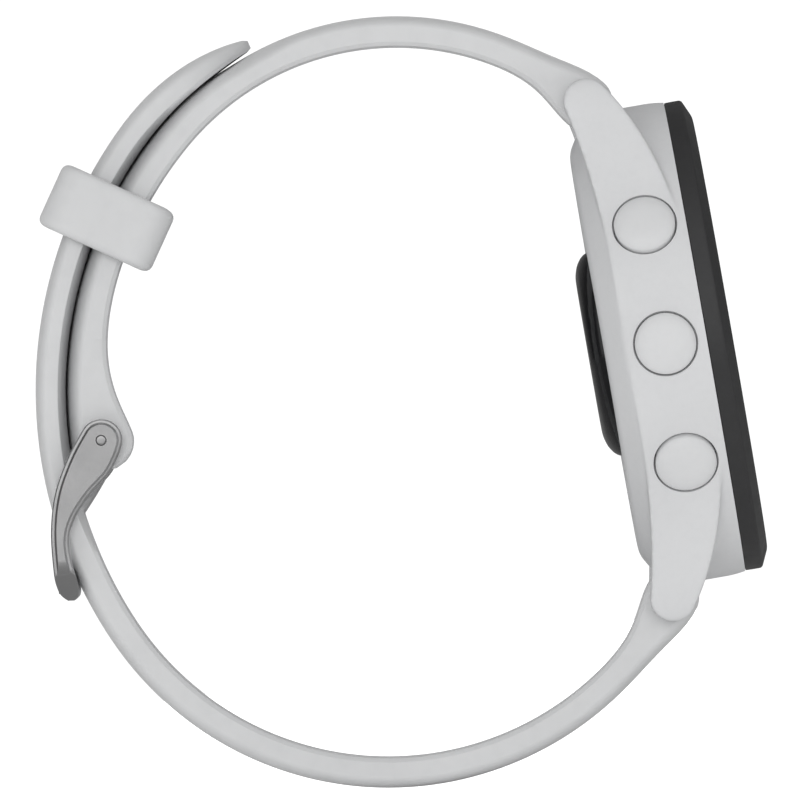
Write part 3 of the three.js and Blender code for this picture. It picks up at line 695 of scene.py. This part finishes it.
def back_cover():
    profile = [(SENSOR_BASE_R + 0.15, -2.95), (COVER_R, -2.95), (COVER_R, BACK_Y, 0.4),
               (SENSOR_BASE_R + 0.15, BACK_Y, 0.15)]
    cover = lathe("case_back", eased(profile, 0.05, closed=True), 160, ALONG_Y)
    cuts = [port_slab("port", 0.15, -4, -1.5),
            slab("port_lip", [(x, z + PORT_Z) for x, z in rounded_rectangle(10.4, 4.2, 1.4)],
                 -1.55, 1, PLAN)]
    for i in range(4):
        well = [(0, -4), (0.8, -4), (0.8, -2.2), (1.2, -2.2), (1.2, -1.5), (1.36, BACK_Y + 0.01),
                (1.36, 0), (0, 0)]
        cuts.append(lathe("well", well, 40, screw_place(i)))
    combined(cover, "DIFFERENCE", *cuts)
    return dressed(cover, MATERIALS["case_white"], "case", "case_white", "back_cover")


def sensor_window():
    profile = [(0, -2.5), (SENSOR_BASE_R, -2.5), (SENSOR_BASE_R, -1.2, 0.4), (8.75, -0.75, 0.5),
               (8.1, -0.3, 0.5), (SENSOR_FLAT_R, 0, 0.6), (0, 0)]
    made = lathe("sensor_dome", eased(profile, 0.1, steps=6), 160, ALONG_Y)
    return dressed(made, MATERIALS["sensor_glass"], "case", "sensor_glass", "sensor_window",
                   sharp=50)


def charge_port():
    block = port_slab("port_block", 0, -3.15, -2.0, 0.15)
    wells = [rod("well", 0.62, -4, 0, moved(x=contact_x(i), z=PORT_Z) @ ALONG_Y)
             for i in range(4)]
    combined(block, "DIFFERENCE", *wells)
    dressed(block, MATERIALS["black_polymer"], "case", "black_polymer", "charge_block")
    for i in range(4):
        profile = [(0, -3.15), (CONTACT_R, -3.15), (CONTACT_R, -1.8, 0.14), (0, -1.8)]
        contact = lathe(f"charge_pad_{i + 1}", eased(profile, 0.05), 40,
                        moved(x=contact_x(i), z=PORT_Z) @ ALONG_Y)
        dressed(contact, MATERIALS["gold_plate"], "case", "gold_plate", f"charge_contact_{i + 1}")


def back_screws():
    """Four screws with a six-lobed drive."""
    profile = [(0, -4.2), (0.35, -4.2), (0.5, -3.9), (0.5, -2.1), (SCREW_HEAD_R, -2.1),
               (SCREW_HEAD_R, -1.5, 0.25), (0, -1.5)]
    drive = []
    for k in range(DRIVE_POINTS):
        angle = 2 * math.pi * k / DRIVE_POINTS
        reach = DRIVE_R + DRIVE_WAVE * math.cos(6 * angle)
        drive.append((reach * math.cos(angle), reach * math.sin(angle)))
    for i in range(4):
        screw = lathe(f"cover_screw_{i + 1}", eased(profile, 0.05), 48, screw_place(i))
        combined(screw, "DIFFERENCE", slab("drive", drive, -1.95, 0, screw_place(i)))
        dressed(screw, MATERIALS["small_steel"], "case", "small_steel", f"back_screw_{i + 1}")


# ---- Buttons -------------------------------------------------------------------------------

def button_cap(name, angle):
    """A domed cap on its stem. The stem has the groove for the clip."""
    profile = [(0, 17.0), (0.9, 17.0, 0.1), (0.9, 17.3), (0.6, 17.3), (0.6, 17.65), (0.9, 17.65),
               (0.9, 20.4), (BUTTON_R, 20.4, 0.1), (BUTTON_R, BUTTON_SHOULDER - 0.05, 0)]
    points = eased(profile, 0.05)
    rise = BUTTON_TOP - BUTTON_SHOULDER
    for k in range(1, 25):
        r = BUTTON_R * math.cos(math.radians(90) * k / 24)
        dome = max(1 - (r / BUTTON_R) ** 3.2, 0) ** 0.625
        points.append(Vector((r if k < 24 else 0, BUTTON_SHOULDER + rise * dome)))
    cap = lathe(f"{name}_cap", points, 96, button_place(angle))
    dressed(cap, MATERIALS["button_white"], f"{name}_button_body", "button_white",
            f"{name}_button", sharp=50)


# ---- Band ----------------------------------------------------------------------------------

class Run:
    """A band's middle line in the (y, z) plane: a heading and a chain of tangent arcs."""

    def __init__(self, start, heading, arcs):
        point, turned, along = Vector(start), math.radians(heading), 0.0
        self.legs = []
        for radius, degrees in arcs:
            bend = math.copysign(1 / radius, degrees)
            self.legs.append((along, point, turned, bend))
            length = radius * math.radians(abs(degrees))
            point, turned = self.step(point, turned, bend, length)
            along += length
        self.legs.append((along, point, turned, 0.0))
        self.length = along

    @staticmethod
    def step(point, heading, bend, distance):
        if bend == 0:
            return point + distance * Vector((math.cos(heading), math.sin(heading))), heading
        ahead = heading + bend * distance
        shift = Vector((math.sin(ahead) - math.sin(heading), math.cos(heading) - math.cos(ahead)))
        return point + shift / bend, ahead

    def at(self, distance):
        """The point and the heading at a distance, which may lie off either end."""
        if distance < 0:
            _, point, heading, _ = self.legs[0]
            return self.step(point, heading, 0, distance)
        along, point, heading, bend = [leg for leg in self.legs if leg[0] <= distance][-1]
        return self.step(point, heading, bend, distance - along)


TAIL = Run((BAR_Y, -BAR_Z), TAIL_HEADING, TAIL_ARCS)
STRAP = Run((BAR_Y, BAR_Z), STRAP_HEADING, STRAP_ARCS)


def band_section(half_width, outside, inside, edge_size, bevel_size):
    """A ring of (across, out) points: the outer face crowned and rounded off, the inner sloped."""
    rim_out = outside - CROWN * min(1, half_width / BAND_HALF)
    limit = 0.46 * min(half_width, rim_out + inside)
    edge, bevel = min(edge_size[0], limit), min(bevel_size[0], limit)
    flat = half_width - edge * min(edge_size[1] / edge_size[0], 0.8 * half_width / edge)
    inner_flat = half_width - bevel * min(bevel_size[1] / bevel_size[0], 0.8 * half_width / bevel)
    ring = [(-inner_flat + 2 * inner_flat * k / 12, -inside) for k in range(13)]
    ring += [(half_width - 0.12 * bevel, -inside + 0.9 * bevel),
             (half_width, -inside + 1.06 * bevel)]
    quarter = [math.radians(90 * k / 10) for k in range(11)]
    ring += [(flat + (half_width - flat) * math.cos(a), rim_out - edge + edge * math.sin(a))
             for a in quarter]
    for k in range(1, 16):
        x = flat - 2 * flat * k / 16
        ring.append((x, outside + (rim_out - outside) * (x / flat) ** 2))
    ring += [(-flat - (half_width - flat) * math.sin(a), rim_out - edge + edge * math.cos(a))
             for a in quarter]
    ring += [(-half_width, -inside + 1.06 * bevel),
             (-half_width + 0.12 * bevel, -inside + 0.9 * bevel)]
    return ring


def band_half(name, run, outward, end, shape):
    """A band half swept along its run. The shape gives what band_section takes."""
    quarter = [math.radians(5 + 85 * k / 10) for k in range(11)]
    distances = [-ROOT_R * math.cos(a) for a in quarter]
    count = round((end - END_RUN) / 0.8)
    distances += [0.6 + (end - END_RUN - 0.6) * k / count for k in range(count + 1)]
    closing = [math.radians(4 + 85.4 * k / 36) for k in range(37)]
    distances += [end - END_RUN * math.cos(a) for a in closing]
    rings = []
    for distance in distances:
        point, heading = run.at(distance)
        out = Vector((-math.sin(heading), math.cos(heading))) * outward
        ring = band_section(*shape(distance))
        rings.append([(x, point.x + out.x * n, point.y + out.y * n) for x, n in ring])
    return loft(name, rings)


def root_half(distance):
    """Half the thickness near the root, which is round behind its bar."""
    if distance < 0:
        return math.sqrt(max(ROOT_R ** 2 - distance ** 2, 0.01))
    return (BAND_THICK + ROOT_SWELL * math.exp(-((distance / ROOT_SWELL_LENGTH) ** 2))) / 2


def tail_shape(distance):
    left = TAIL.length + TAIL_TIP_THICK / 2 - distance
    share = min(max(TAIL.length - distance, 0) / TAIL_TAPER, 1)
    half = root_half(distance) - (BAND_THICK - TAIL_TIP_THICK) / 2 * (1 - share) ** 3
    width = BAND_HALF
    if left < BAND_HALF:
        width = math.sqrt(max(BAND_HALF ** 2 - (BAND_HALF - left) ** 2, 0.04))
    if left < TAIL_TIP_THICK / 2:
        half *= math.sqrt(max(1 - (1 - left / (TAIL_TIP_THICK / 2)) ** 2, 0.02))
    laid = eased_step(distance, TAIL_LAID_FROM, TAIL_LAID_FROM + LAYER_RUN)
    laid *= 1 - eased_step(distance, TAIL.length - 14, TAIL.length - 5)
    return width, half, half, FREE_EDGE, between(FREE_BEVEL, LAID_BEVEL, laid)


def lobe(distance):
    gone = max(STRAP.length - distance, 0) / LOBE_SWELL_LENGTH
    return LOBE_SWELL * math.exp(-(gone ** LOBE_SWELL_POWER))


def strap_shape(distance):
    """The outer face rises where the tail lies on it, until the two layers touch."""
    half = root_half(distance)
    rise = LAYER_GAP * eased_step(distance, LAYER_START, LAYER_START + LAYER_RUN)
    laid = eased_step(distance, LAYER_START - LAYER_RUN, LAYER_START)
    edge = between(FREE_EDGE, LAID_EDGE, laid)
    if distance <= STRAP.length:
        return BAND_HALF, half + rise, half + lobe(distance), edge, FREE_BEVEL
    radius = half + LOBE_SWELL / 2
    share = (distance - STRAP.length) / radius
    reach = radius * math.sqrt(max(1 - share ** 2, 0.001))
    fuller = radius * max(1 - share ** 3, 0.001) ** (1 / 3)
    top = half - radius + fuller + rise * (1 - share)
    return BAND_HALF, top, radius - half + reach, edge, FREE_BEVEL


def between(a, b, share):
    return tuple(p + (q - p) * share for p, q in zip(a, b))


def eased_step(value, start, end):
    share = min(max((value - start) / (end - start), 0), 1)
    return share * share * (3 - 2 * share)


def strap_hole(distance):
    """A cutter for one hole, whose rims flare out at both faces of the band."""
    point, heading = TAIL.at(distance)
    out = Vector((math.sin(heading), -math.cos(heading)))
    place = Matrix(((1, 0, 0, 0), (0, math.cos(heading), out.x, point.x),
                    (0, math.sin(heading), out.y, point.y), (0, 0, 0, 1)))
    face = BAND_THICK / 2
    levels = [(face - HOLE_FLARE + HOLE_FLARE * math.sin(a), HOLE_FLARE * (1 - math.cos(a)))
              for a in (math.radians(90) * k / 6 for k in range(7))]
    levels.append((face + 1.5, HOLE_FLARE))
    levels = [(-n, grow) for n, grow in reversed(levels)] + levels
    offset = HOLE_HALF_LENGTH - HOLE_R
    rings = []
    for n, grow in levels:
        ring = arc((0, offset), HOLE_R + grow, 0, 180, 14)
        ring += arc((0, -offset), HOLE_R + grow, 180, 360, 14)
        rings.append([(*p, n) for p in ring])
    return loft("hole", rings, place)


def root_bore(w):
    return rod("root_bore", ROOT_BORE_R, -12, 12, moved(y=BAR_Y, z=w * BAR_Z) @ ALONG_X)


def release_pocket(w):
    """A slot from the bar's bore to the wrist side of the root, for the release knob."""
    turn = Matrix.Rotation(math.radians(w * (STRAP_HEADING - 90)), 4, "X")
    place = moved(y=BAR_Y, z=w * BAR_Z) @ turn @ PLAN
    outline = [(x + RELEASE_X - 0.65, z) for x, z in rounded_rectangle(4.3, 2.4, 0.9)]
    return slab("pocket", outline, 0, 4, place)


def tongue_outline(grow):
    """The side outline of the tongue, made larger by a margin."""
    path = spline([(43.7, -0.9), (43.9, -2.2), (45.1, -3.85), (46.76, -5.74), (48.2, -7.3),
                   (49.1, -8.9), (49.45, -10.6), (49.45, -12.6)], 36)
    near, far = [], []
    for i, centre in enumerate(path):
        share = i / 36
        tangent = (path[min(i + 1, 36)] - path[max(i - 1, 0)]).normalized()
        half = 0.6 - 0.27 * share + grow
        if i == 36:
            centre = centre + tangent * grow
        side = Vector((tangent.y, -tangent.x)) * half
        near.append(centre + side)
        far.insert(0, centre - side)
    return near + far


def tail_strap():
    strap = band_half("band_tail", TAIL, -1, TAIL.length + TAIL_TIP_THICK / 2, tail_shape)
    cuts = [root_bore(-1), release_pocket(-1)]
    cuts += [strap_hole(FIRST_HOLE + i * HOLE_PITCH) for i in range(HOLE_COUNT)
             if i != TONGUE_HOLE]
    room = slab("tongue_room", tongue_outline(GAP), -TONGUE_HALF - GAP, TONGUE_HALF + GAP, SIDE)
    lifted = room.copy()
    lifted.data = room.data.copy()
    bpy.context.scene.collection.objects.link(lifted)
    pivot = Matrix.Translation(Vector((0, PIN_Y, PIN_Z)) * MM)
    lifted.data.transform(pivot @ Matrix.Rotation(math.radians(LIFT), 4, "X") @ pivot.inverted())
    cuts += [room, lifted]
    combined(strap, "DIFFERENCE", *cuts)
    return dressed(strap, MATERIALS["band_silicone"], "case", "band_silicone", "tail_strap")


def buckle_strap():
    end = STRAP.length + BAND_THICK / 2 + LOBE_SWELL / 2
    strap = band_half("band_buckle_side", STRAP, 1, end, strap_shape)
    slot_top = PIN_Z + TONGUE_HUB_R + GAP
    slot = slab("slot", [(38, -6), (50, -6), (50, slot_top), (38, slot_top)],
                -TONGUE_SLOT_HALF, TONGUE_SLOT_HALF, SIDE)
    pin_bore = rod("pin_bore", PIN_BORE_R, -12, 12, moved(y=PIN_Y, z=PIN_Z) @ ALONG_X)
    combined(strap, "DIFFERENCE", root_bore(1), release_pocket(1), pin_bore, slot)
    return dressed(strap, MATERIALS["band_silicone"], "case", "band_silicone", "buckle_strap")


def keeper():
    """A closed loop: a rounded wall section carried round a rounded rectangle."""
    outer = rounded_rectangle(KEEPER_WIDTH, KEEPER_HEIGHT, KEEPER_CORNER_R, 10)
    inner = rounded_rectangle(*KEEPER_CLEAR, KEEPER_CLEAR_CORNER_R, 10)
    inner = [Vector((p.x, p.y + KEEPER_CLEAR_SHIFT)) for p in inner]
    half = KEEPER_LENGTH / 2
    thick = 1.8
    wall = [(0, -half, 1.0), (0, 0, 0), (0, half, 1.0), (thick, half, 1.2), (thick, -half, 1.2)]
    section = eased(wall, 0, closed=True, steps=6)
    angle = math.radians(KEEPER_ANGLE)
    place = Matrix(((1, 0, 0, 0), (0, math.cos(angle), -math.sin(angle), KEEPER_CENTRE[0]),
                    (0, math.sin(angle), math.cos(angle), KEEPER_CENTRE[1]), (0, 0, 0, 1)))
    rings = []
    for a, b in zip(outer, inner):
        rings.append([(*a.lerp(b, p.x / thick), p.y) for p in section])
    count = len(section)
    points = [p for ring in rings for p in ring]
    faces = []
    for i in range(len(rings)):
        here, there = i * count, (i + 1) % len(rings) * count
        faces += [(here + k, here + (k + 1) % count, there + (k + 1) % count, there + k)
                  for k in range(count)]
    loop = mesh_object("band_keeper", points, faces, place)
    return dressed(loop, MATERIALS["band_silicone"], "keeper_body", "band_silicone", "keeper")


# ---- Buckle --------------------------------------------------------------------------------

def buckle_frame():
    outer = spline([(45.04, 1.45), (46.78, -0.75), (48.48, -3.75), (49.43, -7), (49.81, -10.6),
                    (49.75, -12), (49.5, -12.75), (49.02, -13.28)], 40)
    inner = spline([(48.46, -13.36), (48.0, -12.95), (47.88, -12), (48.08, -10), (47.98, -8),
                    (47.18, -6.25), (45.48, -4.4), (43.5, -2.85), (42.24, -1.15)], 44)
    outline = outer + inner + arc((PIN_Y, PIN_Z), ARM_HUB_R, 212, 55, 20)
    levels = [(ARM_INNER_X, 0.3), (ARM_INNER_X + 0.09, 0.09), (ARM_INNER_X + 0.3, 0)]
    levels += [(ARM_OUTER_X - down, inset) for down, inset in RIM_STEPS]
    near = stacked("buckle_loop", outline, levels, SIDE)
    far = stacked("arm", outline, [(-x, inset) for x, inset in levels], SIDE)
    bar_outline = [p for p in outer + inner if p.y < BAR_TOP_Z]
    bar_outline.append(Vector((48.9, BAR_TOP_Z + 0.4)))
    bar = slab("bar", bar_outline, -ARM_INNER_X - 0.5, ARM_INNER_X + 0.5, SIDE)
    combined(near, "UNION", far, bar)
    notch = [(-TONGUE_HALF - GAP, NOTCH_FLOOR_Y), (TONGUE_HALF + GAP, NOTCH_FLOOR_Y),
             (TONGUE_HALF + GAP + 0.4, 52), (-TONGUE_HALF - GAP - 0.4, 52)]
    combined(near, "DIFFERENCE", slab("notch", notch, -20, -5),
             rod("pin_hole", PIN_TIP_R + 0.06, -20, 20, moved(y=PIN_Y, z=PIN_Z) @ ALONG_X))
    plan = [(ARM_OUTER_X, 5), (-ARM_OUTER_X, 5)]
    for u, start in ((-1, 180), (1, 270)):
        corner = (u * (ARM_OUTER_X - FRAME_CORNER_R), FRAME_LOW_Z + FRAME_CORNER_R)
        plan += arc(corner, FRAME_CORNER_R, start, start + 90, 24)
    combined(near, "INTERSECT", slab("plan", plan, 35, 55, PLAN))
    return dressed(near, MATERIALS["buckle_steel"], "buckle", "buckle_steel", "buckle_frame",
                   sharp=30)


def buckle_pin():
    end = ARM_OUTER_X + 0.05
    step = ARM_INNER_X - 0.1
    profile = [(0, -end), (PIN_TIP_R, -end, 0.12), (PIN_TIP_R, -step), (PIN_R, -step),
               (PIN_R, step), (PIN_TIP_R, step), (PIN_TIP_R, end, 0.12), (0, end)]
    made = lathe("buckle_axle", eased(profile, 0.04), 48, moved(y=PIN_Y, z=PIN_Z) @ ALONG_X)
    return dressed(made, MATERIALS["buckle_steel"], "buckle", "buckle_steel", "buckle_pin")


def buckle_tongue():
    tongue = slab("buckle_prong", tongue_outline(0), -TONGUE_HALF, TONGUE_HALF, SIDE, 0.22)
    hub_profile = [(0, -TONGUE_HALF), (TONGUE_HUB_R, -TONGUE_HALF, 0.2),
                   (TONGUE_HUB_R, TONGUE_HALF, 0.2), (0, TONGUE_HALF)]
    hub_place = moved(y=PIN_Y, z=PIN_Z) @ ALONG_X
    hub = lathe("hub", eased(hub_profile, 0.2), 64, hub_place)
    combined(tongue, "UNION", hub)
    combined(tongue, "DIFFERENCE", rod("bore", PIN_BORE_R, -5, 5, hub_place))
    return dressed(tongue, MATERIALS["buckle_steel"], "tongue", "buckle_steel", "buckle_tongue",
                   sharp=30)


# ---- Everything ----------------------------------------------------------------------------

case_body()
bezel()
lens()
back_cover()
sensor_window()
charge_port()
back_screws()
for button_name, button_angle in BUTTONS.items():
    button_cap(button_name, button_angle)
tail_strap()
buckle_strap()
keeper()
buckle_frame()
buckle_pin()
buckle_tongue()

for part in frame["record"]["subparts"]:
    node = frame["nodes"][part["node"]]
    node.data.materials.clear()
    node.data.materials.append(MATERIALS[part["material_slot"]])

# ---- Studio --------------------------------------------------------------------------------

CAMERA_DISTANCE = 2.95
CAMERA_LENS = 1500
CAMERA_AIM = (0.0, 0.01712, -0.00087)
CAMERA_ROLL = math.radians(9.91)

lens_data = bpy.data.cameras.new("camera")
lens_data.lens = CAMERA_LENS
lens_data.sensor_width = 36
lens_data.clip_start = 0.05
lens_data.clip_end = 20
camera = bpy.data.objects.new("camera", lens_data)
c, s = math.cos(CAMERA_ROLL), math.sin(CAMERA_ROLL)
camera.matrix_world = Matrix(((0, 0, -1, CAMERA_AIM[0] - CAMERA_DISTANCE),
                              (-c, -s, 0, CAMERA_AIM[1]), (-s, c, 0, CAMERA_AIM[2]),
                              (0, 0, 0, 1)))
bpy.context.scene.collection.objects.link(camera)
bpy.context.scene.camera = camera


def area_light(name, place, aim, size, power):
    data = bpy.data.lights.new(name, "AREA")
    data.shape = "DISK"
    data.size = size
    data.energy = power
    lamp = bpy.data.objects.new(name, data)
    lamp.location = place
    lamp.visible_camera = False
    lamp.visible_glossy = False
    lamp.rotation_euler = (Vector(aim) - Vector(place)).to_track_quat("-Z", "Y").to_euler()
    bpy.context.scene.collection.objects.link(lamp)


# A broad soft light beside the camera, a weaker one behind, and a tent all round.
area_light("key", (-1.5, 0.08, 0.08), CAMERA_AIM, 1.0, 11.4)
area_light("fill", (1.5, 0.2, 0.4), CAMERA_AIM, 0.9, 4.5)

# The backdrop is white. What shiny faces mirror is bright towards -X and dark at the sides, which
# MIRRORED_LIGHT gives as pairs of a direction's X and a strength.
TENT_LIGHT = 0.625
BACKDROP_LIGHT = 1.1
MIRRORED_LIGHT = ((-1.0, 1.0), (-0.7, 0.85), (-0.3, 0.16), (0.35, 0.05), (1.0, 0.2))



world = bpy.data.worlds.new("studio")
world.use_nodes = True
nodes, links = world.node_tree.nodes, world.node_tree.links
tent = nodes["Background"]
tent.inputs["Color"].default_value = (1, 1, 1, 1)
tent.inputs["Strength"].default_value = TENT_LIGHT
backdrop = nodes.new("ShaderNodeBackground")
backdrop.inputs["Strength"].default_value = BACKDROP_LIGHT
backdrop.inputs["Color"].default_value = (1, 1, 1, 1)
path = nodes.new("ShaderNodeLightPath")
direction = nodes.new("ShaderNodeTexCoord")
separate = nodes.new("ShaderNodeSeparateXYZ")
links.new(direction.outputs["Generated"], separate.inputs[0])
curve = nodes.new("ShaderNodeFloatCurve")
halved = nodes.new("ShaderNodeMath")
halved.operation = "MULTIPLY_ADD"
halved.inputs[1].default_value = 0.5
halved.inputs[2].default_value = 0.5
links.new(separate.outputs["X"], halved.inputs[0])
links.new(halved.outputs[0], curve.inputs["Value"])
points = curve.mapping.curves[0].points
while len(points) < len(MIRRORED_LIGHT):
    points.new(0.5, 0.5)
for point, (x, strength) in zip(points, MIRRORED_LIGHT):
    point.location = ((x + 1) / 2, strength)
curve.mapping.update()
mirrored = nodes.new("ShaderNodeBackground")
links.new(curve.outputs[0], mirrored.inputs["Strength"])
tented = nodes.new("ShaderNodeMixShader")
links.new(path.outputs["Is Glossy Ray"], tented.inputs[0])
links.new(tent.outputs[0], tented.inputs[1])
links.new(mirrored.outputs[0], tented.inputs[2])
chosen = nodes.new("ShaderNodeMixShader")
links.new(path.outputs["Is Camera Ray"], chosen.inputs[0])
links.new(tented.outputs[0], chosen.inputs[1])
links.new(backdrop.outputs[0], chosen.inputs[2])
links.new(chosen.outputs[0], nodes["World Output"].inputs["Surface"])
bpy.context.scene.world = world

# The floor is a white lit table: it glows a little for every ray, lighting the object from below,
# and more for the camera, and the object's shadow still shows.
FLOOR_REACH = 1.5
floor_z = cad_box[0].z - 0.0002
floor_mesh = bpy.data.meshes.new("floor")
floor_mesh.from_pydata([(u * FLOOR_REACH, v * FLOOR_REACH, floor_z)
                        for u, v in ((-1, -1), (1, -1), (1, 1), (-1, 1))], [], [(0, 1, 2, 3)])
floor = bpy.data.objects.new("floor", floor_mesh)
floor_paint = Surface("floor_paint", Specular_IOR_Level=0.1)
floor_path = floor_paint.node("ShaderNodeLightPath")
floor_tone = floor_paint.mixed(floor_paint.noise(120, 2), (0.90, 0.90, 0.90), (0.92, 0.92, 0.92))
# For glossy rays the floor's colour is painted near black: a painted dark reflection of the floor
# in shiny faces.
floor_paint.colour(floor_paint.mixed(floor_path.outputs["Is Glossy Ray"], floor_tone,
                                     (0.02, 0.02, 0.02)))
floor_paint.roughness(floor_paint.ranged(floor_paint.noise(40, 2), 0.7, 0.8))
floor_paint.shader.inputs["Emission Color"].default_value = (1, 1, 1, 1)
glow = floor_paint.math("MULTIPLY", floor_path.outputs["Is Camera Ray"], 0.8)
glow = floor_paint.math("ADD", glow, 0.18)
floor_paint.link(glow, floor_paint.shader.inputs["Emission Strength"])
floor.data.materials.append(floor_paint.made)
bpy.context.scene.collection.objects.link(floor)

bpy.context.scene.view_settings.view_transform = "Standard"
